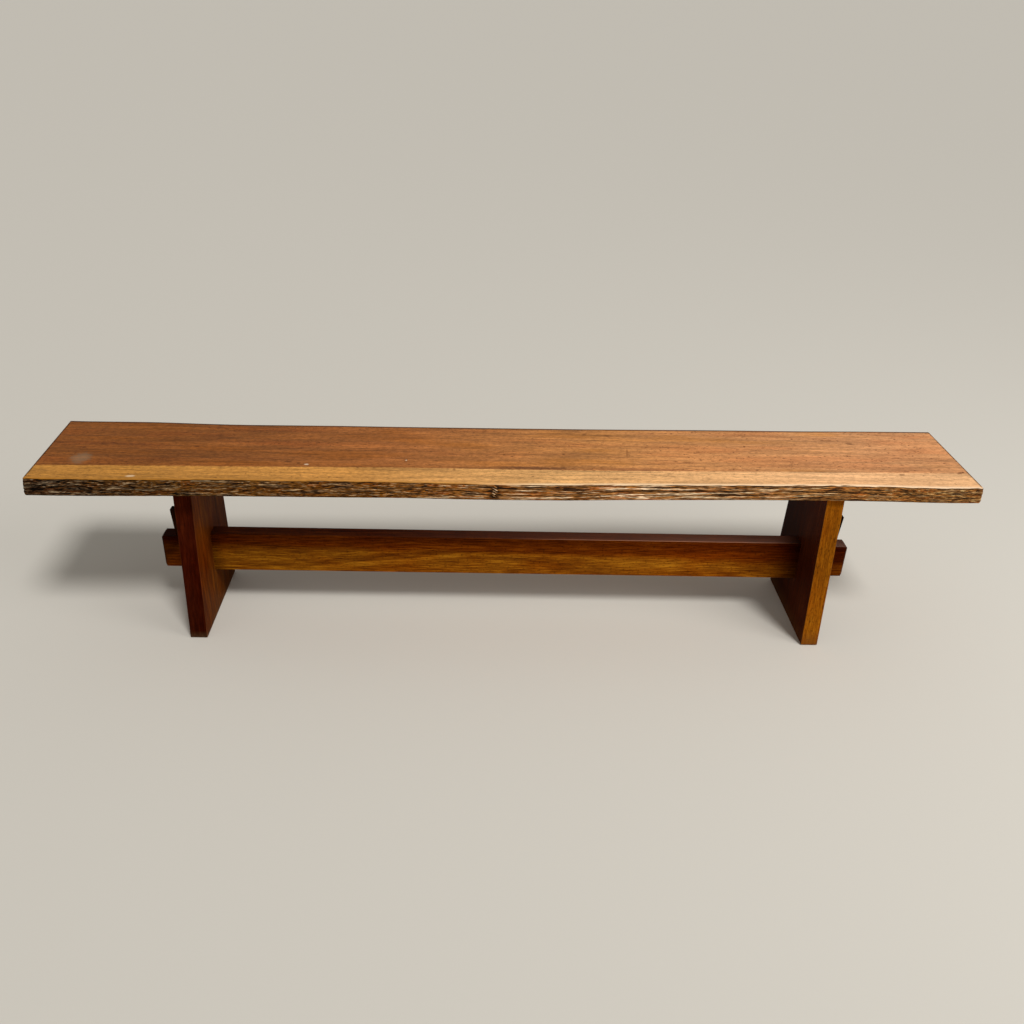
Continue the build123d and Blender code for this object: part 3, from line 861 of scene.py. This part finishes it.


# Teak live edge, bark pulled off by hand and oiled over: black-brown in the furrows, partly painted shade
# where they are deeper, brown and olive between them, and thin pale strands where the fibre stands up. It
# lightens towards the right end, partly its own colour and partly painted light from the right. Strands are
# really under 1 mm high, and are drawn about 2 mm high so that they show.
liveEdge = {
    "turn": slabTeak["turn"],
    "length": slabTeak["length"],
    "patterns": {  # size along and across the fibre, detail, roughness; the third size plays no part
        "short": ((14 * mm, 1.7 * mm, 1.0), 2.0, 0.6),
        "long": ((120 * mm, 1.7 * mm, 1.0), 2.0, 0.6),
        "hairs": ((15 * mm, 1.6 * mm, 1.0), 1.0, 0.5),
        "gaps": ((80 * mm, 2.3 * mm, 1.0), 1.5, 0.6),
        "hues": ((70 * mm, 6 * mm, 1.0), 2.0, 0.5),
    },
    "longAlong": [(0.05, 0.1), (0.42, 0.45), (0.56, 1.0), (0.82, 0.85), (0.93, 0.35)],
    "strandShare": 0.8,
    "gapShare": 0.2,
    "paleShare": 0.13,
    # deeper furrows are pulled towards the dark gaps: painted shade in the furrows
    "furrowShade": -0.10,
    "gapStops": [(0.40, 0.0), (0.45, 1.0)],
    "strandStops": [(0.52, 0.0), (0.57, 1.0)],
    "hairTones": [(0.36, 0.5), (0.5, 1.0), (0.64, 1.5)],
    # along the plank: lighter towards the right end, partly the wood's own colour and partly painted light
    # from the right
    "gapAlong": [(0.08, "#0a0502"), (0.16, "#180d05"), (0.6, "#36200f"), (0.92, "#2c1b0d")],
    "bodyAlong": [(0.02, "#442a12"), (0.15, "#5c3a12"), (0.36, "#724410"), (0.62, "#a46c34"),
                  (0.97, "#885a2a")],
    "strandAlong": [(0.02, "#7a6850"), (0.3, "#967854"), (0.44, "#b49672"), (0.62, "#dcc09c"),
                    (0.97, "#b89660")],
    "amberTint": "#ffc080",
    "amberStops": [(0.53, 0.0), (0.66, 0.55)],
    "ashTone": "#665c4c",
    "ashStops": [(0.36, 0.4), (0.48, 0.0)],
    "darkArrisLines": [  # height, how far it reaches up or down from there, strength
        (plankShape["underside"], 2.4 * mm, 0.85),
        (plankShape["top"], -4.6 * mm, 0.7),
    ],
    # the bare top arris: pale from the middle on, partly wear and partly a painted highlight
    "arrisAlong": [(0.1, "#9a6420"), (0.45, "#b07a38"), (0.53, "#efcfa4"), (1.0, "#f4d4b0")],
    "arrisFrom": -1.9 * mm,
    "arrisTo": -1.1 * mm,
    "arrisRagged": 6 * mm,
    "roughness": 0.7,
    "specular": 0.04,
    "sheenTint": "#ffffff",
    "bump": 0.6,
    "bumpDepth": 1.6 * mm,
}


def makeLiveEdge(look):
    material, tree, grain = startWood("teakLiveEdgeBarkedOiled", look)
    x, _, z = addNode(tree, "SeparateXYZ", {0: grain}).node.outputs
    along = addNode(tree, "MapRange", {0: x, 1: -look["length"] / 2, 2: look["length"] / 2})
    furrow, pale, bent = (addNode(tree, "Attribute", out="Fac", attribute_name=name)
                          for name in ("furrow", "paleness", "bentHeight"))
    onFibre = addNode(tree, "CombineXYZ", {0: x, 1: bent})
    laid = layPatterns(tree, onFibre, look["patterns"])
    longShare, gap, body, strand, arris = (
        addNode(tree, "ValToRGB", {0: along}, stops=look[key])
        for key in ("longAlong", "gapAlong", "bodyAlong", "strandAlong", "arrisAlong"))
    # how far the fibre stands up at a place: gaps are low, strands are high
    strands = addNode(tree, "Mix", {0: longShare, 2: laid["short"], 3: laid["long"]}, data_type="FLOAT")
    share = addNode(tree, "Math", {0: laid["gaps"], 1: look["gapShare"]}, operation="MULTIPLY")
    # deeper furrows lower the share and so are drawn darker, which paints shade into them
    for part, weight in ((strands, "strandShare"), (pale, "paleShare"), (furrow, "furrowShade")):
        share = addNode(tree, "Math", {0: part, 1: look[weight], 2: share}, operation="MULTIPLY_ADD")
    amber, ash = (addNode(tree, "ValToRGB", {0: laid["hues"]}, stops=look[key])
                  for key in ("amberStops", "ashStops"))
    body = addNode(tree, "Mix", {0: amber, 6: body, 7: hexLinear(look["amberTint"])}, **multiply)
    body = addNode(tree, "Mix", {0: ash, 6: body, 7: hexLinear(look["ashTone"])}, **layOver)
    opened = addNode(tree, "ValToRGB", {0: share}, stops=look["gapStops"])
    colour = addNode(tree, "Mix", {0: opened, 6: gap, 7: body}, **layOver)
    raised = addNode(tree, "ValToRGB", {0: share}, stops=look["strandStops"])
    colour = addNode(tree, "Mix", {0: raised, 6: colour, 7: strand}, **layOver)
    hairs = addNode(tree, "ValToRGB", {0: laid["hairs"]}, stops=look["hairTones"])
    colour = addNode(tree, "Mix", {0: 1.0, 6: colour, 7: hairs}, **multiply)
    # a dark line along the lower arris and under the upper one; the upper arris itself is drawn pale, partly
    # wear and partly a painted highlight
    for place, reach, strength in look["darkArrisLines"]:
        near = addNode(tree, "MapRange", {0: z, 1: place + reach * 0.3, 2: place + reach, 3: strength, 4: 0.0})
        colour = addNode(tree, "Mix", {0: near, 6: colour, 7: gap}, **layOver)
    depth = addNode(tree, "Math", {0: plankShape["top"], 1: z}, operation="SUBTRACT")
    depth = addNode(tree, "Math", {0: laid["gaps"], 1: -look["arrisRagged"], 2: depth},
                    operation="MULTIPLY_ADD")
    bare = addNode(tree, "MapRange", {0: depth, 1: look["arrisFrom"], 2: look["arrisTo"], 3: 1.0, 4: 0.0})
    colour = addNode(tree, "Mix", {0: bare, 6: colour, 7: arris}, **layOver)
    finishWood(tree, look, colour, height=share)
    return material


plank = makePlank(plankShape)
plank.data.materials.append(makeSlab(slabTeak))
plank.data.materials.append(makeLiveEdge(liveEdge))
print("plank modelled and dressed,", len(plank.data.polygons), "faces")
